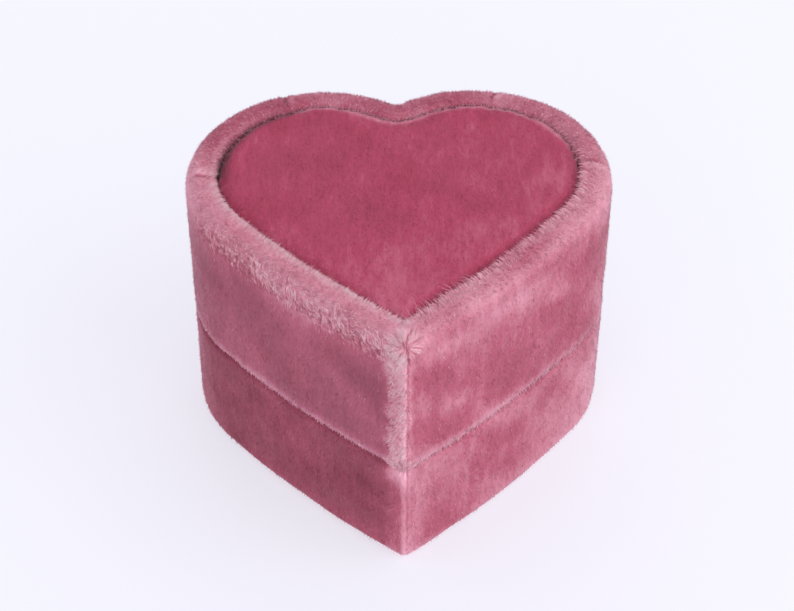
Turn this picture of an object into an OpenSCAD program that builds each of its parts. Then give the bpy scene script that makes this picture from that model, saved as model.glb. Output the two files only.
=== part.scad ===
// Heart-shaped velvet ring box with a lift-off lid.
// Every layer is the same heart, set in by the thickness of what lies outside it.
// Millimetres, +Z up, the heart's tip towards -Y, origin under the middle of the box.

/* [Overall size] */
// Width over the velvet, across both lobes
box_w = 60; // [50:1:74]
// Depth over the velvet, from the tip to the back of the lobes
box_d = 55; // [46:1:68]
// Height of the base, up to its velvet rim
base_h = 18.4; // [15:0.2:24]
// Height that the closed lid adds to the base
lid_h = 24; // [20:0.2:34]

/* [Heart outline] */
// Radius of each lobe, over the velvet
lobe_r = 19; // [15.5:0.5:23]
// Radius of the slight bulge of each side
side_r = 150; // [90:5:400]
// Radius of the vertical edge at the tip, over the velvet
tip_r = 1.5; // [1.2:0.1:3]
// Radius of the hollow between the lobes, over the velvet
cleft_r = 1.5; // [0.8:0.1:3]

/* [Board] */
// Greyboard of the lid and base walls
wall_t = 2; // [1.5:0.1:3]
// Greyboard of the lid's deck
deck_t = 2; // [1.5:0.1:3]
// Greyboard of the floor
floor_t = 2; // [1.5:0.1:3]
// Board of the collar that guides the lid
collar_t = 1.2; // [0.8:0.1:2]
// Board of the let-in panels on top and underneath
panel_board_t = 1.5; // [1:0.1:2]
// Card under the ring pad and behind the ceiling pad
card_t = 1; // [0.6:0.1:1.5]

/* [Fabric] */
// Velvet on the outside, backing and pile
velvet_t = 1.1; // [0.8:0.1:1.5]
// Velvet pressed flat inside the lid, on the collar and on the ring pad
lining_t = 0.8; // [0.5:0.1:1]
// Satin of the ceiling pad
satin_t = 0.4; // [0.3:0.1:0.6]
// Roundness of the rim's and the bottom's outer edge
rim_r = 1.8; // [0.8:0.1:2.5]
// Roundness of the edges where lid and base meet
lip_r = 0.8; // [0.4:0.1:1]

/* [Padding] */
// Wadding under the velvet of the top panel
top_wadding_t = 1; // [0.5:0.1:2]
// Wadding of the ceiling pad
ceiling_wadding_t = 1.6; // [1:0.1:3]
// How far the top panel lies below the rim
panel_drop = 0.4; // [0:0.1:1]
// Height of the ring pad over the base's rim
pad_rise = 1; // [-2:0.5:3]

/* [Collar and fits] */
// How far the collar stands above the base
collar_rise = 8.4; // [5:0.2:10]
// Play between the lid's inside and the collar
fit_gap = 0.3; // [0.2:0.05:0.5]
// Play around the panels and pads that are dropped in
drop_gap = 0.15; // [0.1:0.05:0.3]
// Gap between the closed lid and the base
parting_gap = 0.2; // [0.1:0.05:0.4]
// How far the ring slot lies behind the middle of the box
slot_y = 2; // [-2:0.5:6]
// Width of the ring slot between the two pads
slot_gap = 0.6; // [0.4:0.1:1.5]

/* [Hidden] */

rose = [0.72, 0.33, 0.44];
rose_deep = [0.6, 0.22, 0.33];
satin_rose = [0.84, 0.6, 0.64];
greyboard = [0.62, 0.58, 0.52];
foam_white = [0.93, 0.92, 0.88];

// Points along each stretch of half the outline
TIP_STEPS = 3;
SIDE_STEPS = 5;
LOBE_STEPS = 24;
CLEFT_STEPS = 4;
// Points along each rounded edge of a section
EDGE_STEPS = 4;
// Least tip radius, where a layer deep inside would come to a knife edge
TIP_LEAST = 0.2;

// ---- Insets: how far each face lies inside the outer surface of the box ----
wall_out = velvet_t;
wall_in = wall_out + wall_t;
rim_w = wall_in + velvet_t;
lid_inside = wall_in + lining_t;
collar_out = lid_inside + fit_gap;
collar_board_out = collar_out + lining_t;
collar_board_in = collar_board_out + collar_t;
collar_in = collar_board_in + lining_t;
pad_side = collar_in + drop_gap;
panel_side = rim_w + drop_gap;
ceiling_side = lid_inside + drop_gap;

// ---- Heights ----
box_h = base_h + lid_h;
lid_z = base_h + parting_gap;
panel_top = box_h - panel_drop;
top_wadding_top = panel_top - velvet_t;
panel_board_top = top_wadding_top - top_wadding_t;
deck_top = panel_board_top - panel_board_t;
deck_z = deck_top - deck_t;
ceiling_board_z = deck_z - card_t;
ceiling_wadding_z = ceiling_board_z - ceiling_wadding_t;
ceiling_z = ceiling_wadding_z - satin_t;
floor_z = velvet_t + panel_board_t;
floor_top = floor_z + floor_t;
collar_top = base_h + collar_rise;
pad_board_top = floor_top + card_t;
pad_top = base_h + pad_rise;

// ---- Centres of the arcs that make the outer heart ----
lobe_c = [box_w / 2 - lobe_r, box_d / 2 - lobe_r];
tip_c = [0, tip_r - box_d / 2];
side_c = left_meeting(lobe_c, side_r - lobe_r, tip_c, side_r - tip_r);
cleft_c = [0, lobe_c.y + sqrt(pow(lobe_r + cleft_r, 2) - pow(lobe_c.x, 2))];

// Where two circles meet, on the side that lies to the left going from a to b
function left_meeting(a, ra, b, rb) =
    let (ab = b - a, d = norm(ab), u = ab / d, along = (d * d + ra * ra - rb * rb) / (2 * d))
    a + u * along + [u.y, -u.x] * sqrt(ra * ra - along * along);

function direction(from, to) = atan2(to.y - from.y, to.x - from.x);

// Points on an arc, leaving out its last one
function arc(c, r, from, to, steps) = [
    for (i = [0:steps - 1]) let (a = from + (to - from) * i / steps)
    c + r * [cos(a), sin(a)]
];

// Right half of the heart set in by `inset`, from the tip up to just before the cleft
function half_heart(inset) =
    let (
        tip = max(tip_r - inset, TIP_LEAST),
        tip_at = [0, side_c.y - sqrt(pow(side_r - inset - tip, 2) - pow(side_c.x, 2))],
        to_tip = direction(side_c, tip_at),
        to_lobe = direction(side_c, lobe_c),
        to_cleft = direction(lobe_c, cleft_c)
    )
    concat(
        arc(tip_at, tip, -90, to_tip, TIP_STEPS),
        arc(side_c, side_r - inset, to_tip, to_lobe, SIDE_STEPS),
        arc(lobe_c, lobe_r - inset, to_lobe, to_cleft, LOBE_STEPS),
        arc(cleft_c, cleft_r + inset, to_cleft - 180, -90, CLEFT_STEPS)
    );

// The whole heart, counterclockwise from the tip
function heart_points(inset) =
    let (right = half_heart(inset), n = len(right))
    concat(
        right,
        [cleft_c - [0, cleft_r + inset]],
        [for (i = [n - 1:-1:1]) [-right[i].x, right[i].y]]
    );

// A rounded edge never takes more than half of the rim
function edge_r(r) = min(r, rim_w / 2);

// A rounded corner of a section, as [inset, height] points, both ends included
function corner(c, r, from, to) =
    concat(arc(c, r, from, to, EDGE_STEPS), [c + r * [cos(to), sin(to)]]);

// Solid plate between two heights
module heart_plate(inset, z0, z1)
    translate([0, 0, z0]) linear_extrude(z1 - z0) polygon(heart_points(inset));

// Upright band between two insets and two heights
module heart_band(outer, inner, z0, z1)
    translate([0, 0, z0]) linear_extrude(z1 - z0) difference() {
        polygon(heart_points(outer));
        polygon(heart_points(inner));
    }

// Rings of points, one for each [inset, height] of a section
function rings(section) = [for (s = section) for (p = heart_points(s.x)) [p.x, p.y, s.y]];

function quads(from_ring, to_ring, n) = [
    for (i = [0:n - 1]) let (j = (i + 1) % n)
    each [
        [from_ring * n + i, to_ring * n + i, to_ring * n + j],
        [from_ring * n + i, to_ring * n + j, from_ring * n + j]
    ]
];

// Closed section, clockwise from its lowest outer point, carried all round the heart
module heart_sweep(section) {
    n = len(heart_points(0));
    m = len(section);
    polyhedron(rings(section), [for (k = [0:m - 1]) each quads(k, (k + 1) % m, n)]);
}

// Cap: a section from its inner ceiling out and over to its outer top, closed across at both ends
module heart_cap(section) {
    n = len(heart_points(0));
    m = len(section);
    polyhedron(
        rings(section),
        concat(
            [for (k = [0:m - 2]) each quads(k, k + 1, n)],
            [[for (i = [0:n - 1]) i]],
            [[(m - 1) * n, for (i = [n - 1:-1:1]) (m - 1) * n + i]]
        )
    );
}

// Section of the velvet that covers one wall: its outside, both its edges and the turn-ins behind it.
// low_in and high_in are the insets of the turn-ins below and above the plate that the wall holds, which
// lies between plate_z0 and plate_z1. The last two are the radii of the turn-ins' own edges.
function wrap_section(z0, z1, low_r, high_r, low_in, high_in, plate_z0, plate_z1, in_low_r, in_high_r) =
    concat(
        corner([low_r, z0 + low_r], low_r, 270, 180),
        corner([high_r, z1 - high_r], high_r, 180, 90),
        corner([high_in - in_high_r, z1 - in_high_r], in_high_r, 90, 0),
        [
            [high_in, plate_z1], [wall_in, plate_z1], [wall_in, z1 - velvet_t], [wall_out, z1 - velvet_t],
            [wall_out, z0 + velvet_t], [wall_in, z0 + velvet_t], [wall_in, plate_z0], [low_in, plate_z0]
        ],
        corner([low_in - in_low_r, z0 + in_low_r], in_low_r, 0, -90)
    );

// ---- Lid ----

module lid_velvet_wrap()
    color(rose) heart_sweep(wrap_section(
        lid_z, box_h, lip_r, edge_r(rim_r), lid_inside, rim_w, deck_z, deck_top, lip_r, lip_r
    ));

module lid_wall_board()
    color(greyboard) heart_band(wall_out, wall_in, lid_z + velvet_t, box_h - velvet_t);

module lid_deck_board()
    color(greyboard) heart_plate(wall_in, deck_z, deck_top);

module top_panel_velvet()
    color(rose_deep) heart_cap(concat(
        [
            [panel_side + velvet_t, top_wadding_top], [panel_side + velvet_t, deck_top],
            [panel_side, deck_top]
        ],
        corner([panel_side + lip_r, panel_top - lip_r], lip_r, 180, 90)
    ));

module top_panel_wadding()
    color(foam_white) heart_plate(panel_side + velvet_t, panel_board_top, top_wadding_top);

module top_panel_board()
    color(greyboard) heart_plate(panel_side + velvet_t, deck_top, panel_board_top);

module ceiling_satin()
    color(satin_rose) difference() {
        heart_plate(ceiling_side, ceiling_z, deck_z);
        heart_plate(ceiling_side + satin_t, ceiling_wadding_z, deck_z);
    }

module ceiling_wadding()
    color(foam_white) heart_plate(ceiling_side + satin_t, ceiling_wadding_z, ceiling_board_z);

module ceiling_board()
    color(greyboard) heart_plate(ceiling_side + satin_t, ceiling_board_z, deck_z);

// ---- Base ----

module base_velvet_wrap()
    color(rose) heart_sweep(wrap_section(
        0, base_h, edge_r(rim_r), lip_r, rim_w, collar_out, floor_z, floor_top, lip_r, lip_r / 2
    ));

module base_wall_board()
    color(greyboard) heart_band(wall_out, wall_in, velvet_t, base_h - velvet_t);

module base_floor_board()
    color(greyboard) heart_plate(wall_in, floor_z, floor_top);

module bottom_panel_velvet()
    color(rose_deep) difference() {
        heart_plate(panel_side, 0, floor_z);
        heart_plate(panel_side + velvet_t, velvet_t, floor_z);
    }

module bottom_panel_board()
    color(greyboard) heart_plate(panel_side + velvet_t, velvet_t, floor_z);

module collar_velvet()
    color(rose_deep) heart_sweep(concat(
        [[collar_out, floor_top]],
        corner([collar_out + lip_r, collar_top - lip_r], lip_r, 180, 90),
        corner([collar_in - lip_r, collar_top - lip_r], lip_r, 90, 0),
        [
            [collar_in, floor_top], [collar_board_in, floor_top], [collar_board_in, collar_top - lining_t],
            [collar_board_out, collar_top - lining_t], [collar_board_out, floor_top]
        ]
    ));

module collar_board()
    color(greyboard) heart_band(collar_board_out, collar_board_in, floor_top, collar_top - lining_t);

module ring_pad_board()
    color(greyboard) heart_plate(pad_side, floor_top, pad_board_top);

// The part of its child in front of the slot (side -1) or behind it (side 1), kept `back` from the slot
module pad_half(side, back) {
    near_y = side > 0 ? slot_y + back : slot_y - back - box_d;
    intersection() {
        children();
        translate([-box_w / 2, near_y, 0]) cube([box_w, box_d, box_h]);
    }
}

module pad_foam(side)
    color(foam_white) pad_half(side, slot_gap / 2 + lining_t)
        heart_plate(pad_side + lining_t, pad_board_top, pad_top - lining_t);

module pad_velvet(side)
    color(rose_deep) difference() {
        pad_half(side, slot_gap / 2) heart_plate(pad_side, pad_board_top, pad_top);
        pad_foam(side);
    }

module front_pad_velvet() pad_velvet(-1);
module front_pad_foam() pad_foam(-1);
module back_pad_velvet() pad_velvet(1);
module back_pad_foam() pad_foam(1);

lid_velvet_wrap();
lid_wall_board();
lid_deck_board();
top_panel_velvet();
top_panel_wadding();
top_panel_board();
ceiling_satin();
ceiling_wadding();
ceiling_board();
base_velvet_wrap();
base_wall_board();
base_floor_board();
bottom_panel_velvet();
bottom_panel_board();
collar_velvet();
collar_board();
ring_pad_board();
front_pad_velvet();
front_pad_foam();
back_pad_velvet();
back_pad_foam();
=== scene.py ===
import itertools
import math

import bmesh
import bpy
import numpy as np
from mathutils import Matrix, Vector


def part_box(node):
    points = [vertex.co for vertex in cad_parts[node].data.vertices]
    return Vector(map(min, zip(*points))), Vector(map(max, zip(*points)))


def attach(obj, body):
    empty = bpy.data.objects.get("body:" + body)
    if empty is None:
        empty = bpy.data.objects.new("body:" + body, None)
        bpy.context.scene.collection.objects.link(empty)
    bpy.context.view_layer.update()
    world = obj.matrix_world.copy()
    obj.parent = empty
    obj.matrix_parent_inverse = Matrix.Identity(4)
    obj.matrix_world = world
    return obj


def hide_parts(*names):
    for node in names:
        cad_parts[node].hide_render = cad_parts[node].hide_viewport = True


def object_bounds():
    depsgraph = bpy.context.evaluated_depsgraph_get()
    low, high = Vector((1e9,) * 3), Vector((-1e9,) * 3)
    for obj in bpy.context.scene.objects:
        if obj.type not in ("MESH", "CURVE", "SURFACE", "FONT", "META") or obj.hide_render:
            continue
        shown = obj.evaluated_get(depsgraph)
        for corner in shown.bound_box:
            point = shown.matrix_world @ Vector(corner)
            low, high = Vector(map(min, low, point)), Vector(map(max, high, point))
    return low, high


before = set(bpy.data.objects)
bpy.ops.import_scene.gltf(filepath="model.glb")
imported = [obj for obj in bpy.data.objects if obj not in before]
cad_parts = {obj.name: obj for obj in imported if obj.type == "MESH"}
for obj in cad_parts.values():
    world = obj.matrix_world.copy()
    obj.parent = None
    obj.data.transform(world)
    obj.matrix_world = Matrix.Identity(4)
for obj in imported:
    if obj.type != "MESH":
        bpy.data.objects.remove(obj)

# Heart-shaped velvet ring box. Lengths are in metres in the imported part's frame: +Z up, the heart's
# tip towards -Y, and the lid ("lid") lifts off the base ("base").

MM = 0.001
CAD_LOW, CAD_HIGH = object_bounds()
# Every random draw comes from here, in the order that the pieces are made
dice = np.random.default_rng(7)


# ---------------------------------------------------------------- measures from the frame

def width(node):
    low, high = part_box(node)
    return high.x - low.x


def inset_of(node):
    """How far a node's heart lies inside the outer surface of the box."""
    return (CAD_HIGH.x - CAD_LOW.x - width(node)) / 2


VELVET_T = inset_of("lid_wall_board")
WALL_IN = inset_of("lid_deck_board")
RIM_W = WALL_IN + VELVET_T
PANEL_SIDE = inset_of("top_panel_velvet")
CEILING_SIDE = inset_of("ceiling_satin")
COLLAR_OUT = inset_of("collar_velvet")
COLLAR_BOARD_OUT = inset_of("collar_board")
PAD_SIDE = inset_of("ring_pad_board")
PANEL_FILL = inset_of("top_panel_wadding")
BOTTOM_FILL = inset_of("bottom_panel_board")
CEILING_FILL = inset_of("ceiling_wadding")
DROP_GAP = PANEL_SIDE - RIM_W
LID_INSIDE = CEILING_SIDE - DROP_GAP
LINING_T = COLLAR_BOARD_OUT - COLLAR_OUT
COLLAR_IN = PAD_SIDE - DROP_GAP
COLLAR_BOARD_IN = COLLAR_IN - LINING_T

BOX_TOP = CAD_HIGH.z
LID_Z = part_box("lid_velvet_wrap")[0].z
BASE_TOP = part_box("base_velvet_wrap")[1].z
DECK_Z, DECK_TOP = (corner.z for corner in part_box("lid_deck_board"))
FLOOR_Z, FLOOR_TOP = (corner.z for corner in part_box("base_floor_board"))
COLLAR_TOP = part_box("collar_velvet")[1].z
PANEL_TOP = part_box("top_panel_velvet")[1].z

# ---------------------------------------------------------------- the heart

LOBE_R, SIDE_R, TIP_R, CLEFT_R = 19 * MM, 150 * MM, 1.5 * MM, 1.5 * MM
TIP_LEAST = 0.2 * MM
TIP_STEPS, SIDE_STEPS, LOBE_STEPS, CLEFT_STEPS = 12, 130, 170, 14

LOBE = np.array([CAD_HIGH.x - LOBE_R, CAD_HIGH.y - LOBE_R])
TIP = np.array([0, CAD_LOW.y + TIP_R])
CLEFT = np.array([0, LOBE[1] + math.sqrt((LOBE_R + CLEFT_R) ** 2 - LOBE[0] ** 2)])


def left_meeting(a, ra, b, rb):
    """Where two circles meet, on the side that lies to the left going from a to b."""
    apart = np.linalg.norm(b - a)
    u = (b - a) / apart
    along = (apart**2 + ra**2 - rb**2) / (2 * apart)
    return a + u * along + np.array([u[1], -u[0]]) * math.sqrt(ra**2 - along**2)


SIDE = left_meeting(LOBE, SIDE_R - LOBE_R, TIP, SIDE_R - TIP_R)


def angle(start, end):
    return math.atan2(end[1] - start[1], end[0] - start[0])


def arc(centre, r, start, end, steps):
    angles = np.linspace(start, end, steps, endpoint=False)
    return np.array(centre) + r * np.stack([np.cos(angles), np.sin(angles)], 1)


def heart(inset, coarse=1):
    """Outline set in by `inset`, counterclockwise from the tip. coarse divides the number of points."""
    tip_r = max(TIP_R - inset, TIP_LEAST)
    tip = np.array([0, SIDE[1] - math.sqrt((SIDE_R - inset - tip_r) ** 2 - SIDE[0] ** 2)])
    to_tip, to_lobe, to_cleft = angle(SIDE, tip), angle(SIDE, LOBE), angle(LOBE, CLEFT)
    right = np.concatenate([
        arc(tip, tip_r, -math.pi / 2, to_tip, TIP_STEPS // coarse),
        arc(SIDE, SIDE_R - inset, to_tip, to_lobe, SIDE_STEPS // coarse),
        arc(LOBE, LOBE_R - inset, to_lobe, to_cleft, LOBE_STEPS // coarse),
        arc(CLEFT, CLEFT_R + inset, to_cleft - math.pi, -math.pi / 2, CLEFT_STEPS // coarse),
    ])
    cleft = CLEFT - [0, CLEFT_R + inset]
    return np.concatenate([right, [cleft], (right * [-1, 1])[:0:-1]])


# ---------------------------------------------------------------- smooth noise

def lattice(cell, seed):
    """A fixed value from -1 to 1 for each whole-numbered cell."""
    h = (cell * np.array([73856093, 19349663, 83492791])).sum(1) + seed * 2654435761
    h = (h ^ (h >> 13)) * 1274126177 & 0x7FFFFFFF
    h = (h ^ (h >> 15)) * 2246822519 & 0x7FFFFFFF
    return (h & 0xFFFFF) / 0x7FFFF - 1


def noise(points, size, seed=0):
    """Smooth noise from -1 to 1 with patches about `size` across, in metres, or one size per axis."""
    p = points / (np.ones(3) * size)
    cell = np.floor(p).astype(np.int64)
    f = p - cell
    f = f * f * (3 - 2 * f)
    total = np.zeros(len(p))
    for corner in itertools.product((0, 1), repeat=3):
        share = np.prod(np.where(corner, f, 1 - f), 1)
        total += share * lattice(cell + corner, seed)
    return total


def bump(x, centre, spread):
    return np.exp(-(((x - centre) / spread) ** 2))


def ease(x, low, high):
    t = np.clip((x - low) / (high - low), 0, 1)
    return t * t * (3 - 2 * t)


def unit(v):
    return v / np.maximum(np.linalg.norm(v, axis=1, keepdims=True), 1e-12)


# ---------------------------------------------------------------- meshes

def new_piece(name, points, faces):
    mesh = bpy.data.meshes.new(name)
    mesh.from_pydata(np.asarray(points).tolist(), [], faces)
    mesh.update()
    mesh.shade_smooth()
    piece = bpy.data.objects.new(name, mesh)
    bpy.context.scene.collection.objects.link(piece)
    return piece


def places(piece):
    co = np.zeros(len(piece.data.vertices) * 3)
    piece.data.vertices.foreach_get("co", co)
    return co.reshape(-1, 3)


def outward(piece):
    n = np.zeros(len(piece.data.vertices) * 3)
    piece.data.vertex_normals.foreach_get("vector", n)
    return n.reshape(-1, 3)


def move_to(piece, points):
    piece.data.vertices.foreach_set("co", np.asarray(points, np.float64).ravel())
    piece.data.update()


def keep_values(piece, name, each):
    """A number for each point of a piece."""
    attribute = piece.data.attributes.new(name, "FLOAT", "POINT")
    attribute.data.foreach_set("value", np.asarray(each, np.float32))


def values(piece, name, otherwise=0.0):
    kept = np.full(len(piece.data.vertices), otherwise, np.float32)
    if name in piece.data.attributes:
        piece.data.attributes[name].data.foreach_get("value", kept)
    return kept.astype(float)


def stretch(start, end, step):
    """Points from start up to just before end, about `step` apart."""
    start, end = np.array(start), np.array(end)
    count = max(1, round(np.linalg.norm(end - start) / step))
    return [start + (end - start) * i / count for i in range(count)]


def turn(centre, r, start, end, step):
    """Points round a corner of a section, in degrees, both ends included."""
    count = max(2, round(r * abs(math.radians(end - start)) / step))
    angles = np.radians(np.linspace(start, end, count + 1))
    return [np.array(centre) + r * np.array([math.cos(a), math.sin(a)]) for a in angles]


def outward_2d(outline):
    along = np.roll(outline, -1, 0) - np.roll(outline, 1, 0)
    return unit(np.c_[along[:, 1], -along[:, 0]])


def sweep(name, section, coarse=1):
    """A closed section of [inset, height] points carried round the heart. Each point keeps its inset and
    the way out of the box there."""
    rings = []
    for inset, z in section:
        outline = heart(inset, coarse)
        rings.append(np.c_[outline, np.full(len(outline), z)])
    n, m = len(rings[0]), len(rings)
    faces = [
        (k * n + i, k * n + (i + 1) % n, (k + 1) % m * n + (i + 1) % n, (k + 1) % m * n + i)
        for k in range(m) for i in range(n)
    ]
    piece = new_piece(name, np.concatenate(rings), faces)
    out = np.tile(outward_2d(heart(0, coarse)), (m, 1))
    keep_values(piece, "inset", np.repeat([inset for inset, z in section], n))
    keep_values(piece, "out_x", out[:, 0])
    keep_values(piece, "out_y", out[:, 1])
    return piece


def plate(name, outline, z0, z1):
    """Solid of any flat outline between two heights."""
    n = len(outline)
    points = np.concatenate([np.c_[outline, np.full(n, z0)], np.c_[outline, np.full(n, z1)]])
    top = tuple(range(n, 2 * n))
    bottom = tuple(range(n - 1, -1, -1))
    sides = [(i, (i + 1) % n, n + (i + 1) % n, n + i) for i in range(n)]
    return new_piece(name, points, [bottom, top, *sides])


# ---------------------------------------------------------------- velvet: where it is deep and where pale

# Much of the velvet's shade below is painted: sheen, highlights, a lit and a shaded side, and shade in
# creases
# Where the cloth is drawn together at the top and bottom of the lid's front edge
STAR = np.array([0, CAD_LOW.y + 0.6 * MM, BOX_TOP - 1.2 * MM])
SEAM_STAR = np.array([0, CAD_LOW.y, LID_Z + 0.3 * MM])
# Where the cloth is folded to turn over the curved rim, [x, y]
CREASES = np.array([(-27.6, 7.4), (-16.3, 24.8), (14.3, 25.3), (27.9, 9.4)]) * MM
# How many creases would run in to the middle of a burst all round it
BURST_CREASES = 9


def front_left(n):
    return ease(-n[:, 0], 0.1, 0.55) * ease(-n[:, 1], -0.1, 0.35)


def front_right(n):
    return ease(n[:, 0], 0.1, 0.55) * ease(-n[:, 1], -0.1, 0.35)


def crimped(p, n):
    """The band of wavy pile below the rim, along the lid's left side."""
    deep = bump(p[:, 2], BOX_TOP - 2.3 * MM, 2.4 * MM)
    return front_left(n) * deep * ease(-p[:, 1], -6 * MM, 8 * MM)


def tip_distance(p):
    return np.hypot(p[:, 0], p[:, 1] - CAD_LOW.y)


def ridged(p):
    """The standing pile down the front edge: a broad strip to its left, a narrow one to its right."""
    fading = 0.35 + 0.65 * ease(p[:, 2], LID_Z - 5 * MM, LID_Z)
    reach = np.where(p[:, 0] < 0.1 * MM, 3.9 * MM, 1.4 * MM) + 0.5 * MM * noise(p, 1.3 * MM, 5)
    return ease(reach - tip_distance(p), 0, 2.2 * MM) * fading


def starred(p):
    """The bursts of pile at both ends of the lid's front edge."""
    top = bump(np.linalg.norm(p - STAR, axis=1), 0, 2.1 * MM)
    low = bump(np.linalg.norm(p - SEAM_STAR, axis=1), 0, 1.3 * MM)
    return np.maximum(top, low)


def folded(p, beside, spread):
    """A line across the rim at each fold, or to one side of it, which stops short of the rim's edges."""
    near = np.zeros(len(p))
    for crease in CREASES:
        across = crease - LOBE * [math.copysign(1, crease[0]), 1]
        across /= np.linalg.norm(across)
        away = p[:, :2] - crease
        along_rim = away @ [across[1], -across[0]] - 0.2 * MM * np.sin(away @ across / MM * 2)
        near = np.maximum(near, bump(along_rim, beside, spread) * bump(away @ across, 0, 1.5 * MM))
    return near * ease(p[:, 2], BOX_TOP - 2.5 * MM, BOX_TOP - 1 * MM)


def spokes(p):
    """The way out from the nearer burst."""
    to_top, to_low = p - STAR, p - SEAM_STAR
    near_top = np.linalg.norm(to_top, axis=1) < np.linalg.norm(to_low, axis=1)
    return np.where(near_top[:, None], to_top, to_low)


def burst_tufts(p):
    """Round a burst: 1 in the creases that run in to its middle and 0 between them, how far the pile
    stands out in each tuft, and a value from -1 to 1 that the tuft shares."""
    x, y, z = spokes(p).T
    turned = np.arctan2(z + y, x) * BURST_CREASES / 2 + 0.9 * noise(p, 1.8 * MM, 91)
    index = np.floor(turned / math.pi).astype(np.int64)
    own = lattice(np.stack([index, index, index], 1), 92)
    weaker = 1 - 0.6 * ease(x, 0.3 * MM, 1.8 * MM)
    crease = bump(np.sin(turned), 0, 0.26) * (0.65 + 0.35 * own) * weaker
    middle = 0.8 * bump(np.linalg.norm(spokes(p), axis=1), 0, 0.5 * MM)
    return np.maximum(crease, middle), np.abs(np.sin(turned)) * weaker, own


def box_shade(p, n):
    """Shade of the box's outer velvet, from 0, deep, to 1, pale, and how cool it is, from 0 to 1. Each term
    is how much paler, or deeper, it looks in one place. Apart from the mottles, which are the cloth's own,
    the
    terms are painted light and shade: painted sheen where the pile lies towards the eye or stands up,
    painted highlights, painted shade in creases, and a lit right side and shaded left side."""
    x, y, z = p.T
    left, right = front_left(n), front_right(n)
    on_lid = (z > (LID_Z + BASE_TOP) / 2).astype(float)
    on_base = 1 - on_lid
    on_rim = ease(z, BOX_TOP - 3.4 * MM, BOX_TOP - 1 * MM)
    burst = ease(starred(p), 0.1, 0.5) * (0.4 + 0.6 * on_lid)
    crease, _, own = burst_tufts(p)
    lip = bump(z, LID_Z + 0.6 * MM, 1.1 * MM) * on_lid
    # Mottles in three sizes, the largest along a slant
    slanted = p @ np.array([[1, 0, 0.5], [0, 1, 0], [0.6, 0, 1]])
    shade = 0.42 + 0.13 * noise(slanted, [8 * MM, 8 * MM, 5 * MM], 1) + 0.05 * noise(p, 2.4 * MM, 2)
    shade += 0.05 * noise(p, [0.8 * MM, 0.8 * MM, 4 * MM], 3)
    # The rim: painted sheen, less at the back; a line of painted shade on its right slope, to tone down the
    # key light there; a painted highlight under it at the back; at the folds, a painted highlight beside
    # painted shade
    shade += on_rim * (0.20 - 0.13 * ease(y, 3 * MM, 18 * MM))
    shade -= 0.16 * right * bump(z, BOX_TOP - 1.5 * MM, 1.5 * MM)
    shade += 0.14 * bump(z, BOX_TOP - 3 * MM, 1.2 * MM) * ease(y, 0, 12 * MM)
    shade += 0.20 * folded(p, 0.9 * MM, 0.8 * MM) - 0.35 * folded(p, 0, 0.3 * MM)
    # The front edge: painted sheen on the standing pile, a fine line of painted shade where it parts, and
    # the bursts, paler, with painted shade in their creases; a painted highlight round the tip
    shade += 0.48 * ridged(p) * (1 - burst) + (0.36 - 0.18 * ease(x, 0, 1.5 * MM)) * burst
    shade -= 0.30 * bump(x, 0.35 * MM, 0.15 * MM) * ridged(p) * (z < STAR[2] - 1 * MM)
    shade += (0.10 * own - 0.5 * crease) * burst
    shade += (0.06 + 0.06 * on_base) * bump(tip_distance(p), 0, 6 * MM)
    # The walls of the lid: painted sheen on the wavy band and on the lip, painted light on the right side,
    # which faces the key light, most near the top, and painted shade low down on the left
    shade += 0.12 * crimped(p, n) + (0.22 + 0.12 * left) * lip
    shade += right * (0.05 + 0.14 * ease(z, BOX_TOP - 8 * MM, BOX_TOP - 3 * MM)) * on_lid
    shade += left * on_lid * (0.03 - 0.20 * ease(BOX_TOP - z, 4 * MM, 10 * MM))
    # The walls of the base: painted light on the right, more towards its right end, painted shade on the
    # left; and paler at its foot
    shade += on_base * (right * (0.06 + 0.12 * ease(x, 14 * MM, 26 * MM)) - 0.25 * left)
    shade += 0.14 * bump(z, 0, 2.5 * MM) * on_base
    # Painted sheen at both sides, where the eye meets the pile edge on
    shade += 0.10 * ease(np.abs(x), 27 * MM, 29.5 * MM)
    # Cool: a greyer painted sheen on the lid's left side, off the front edge, and on the lip; and random
    # patches
    cool = 0.12 + 0.40 * left * on_lid * (1 - ridged(p)) + 0.6 * lip + 0.2 * noise(p, 5 * MM, 4)
    return np.clip(shade, 0, 1), np.clip(cool, 0, 1)


def edge_distance(p, inset):
    """How far each place is from the heart set in by `inset`, seen from above. The places are taken in
    parts, to save memory."""
    outline = heart(inset, 2)
    return np.concatenate([
        np.linalg.norm(part[:, None, :2] - outline[None], axis=2).min(1) for part in np.array_split(p, 40)
    ])


def grooved(p):
    """Where the rim stands off the let-in panel: behind its left lobe and at its right."""
    behind_left = ease(-p[:, 0], 13 * MM, 17 * MM) * ease(p[:, 1], 5 * MM, 9 * MM)
    at_right = ease(p[:, 0], 20 * MM, 22 * MM) * bump(p[:, 1], 8 * MM, 5 * MM)
    return np.maximum(behind_left, 0.6 * at_right)


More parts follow.
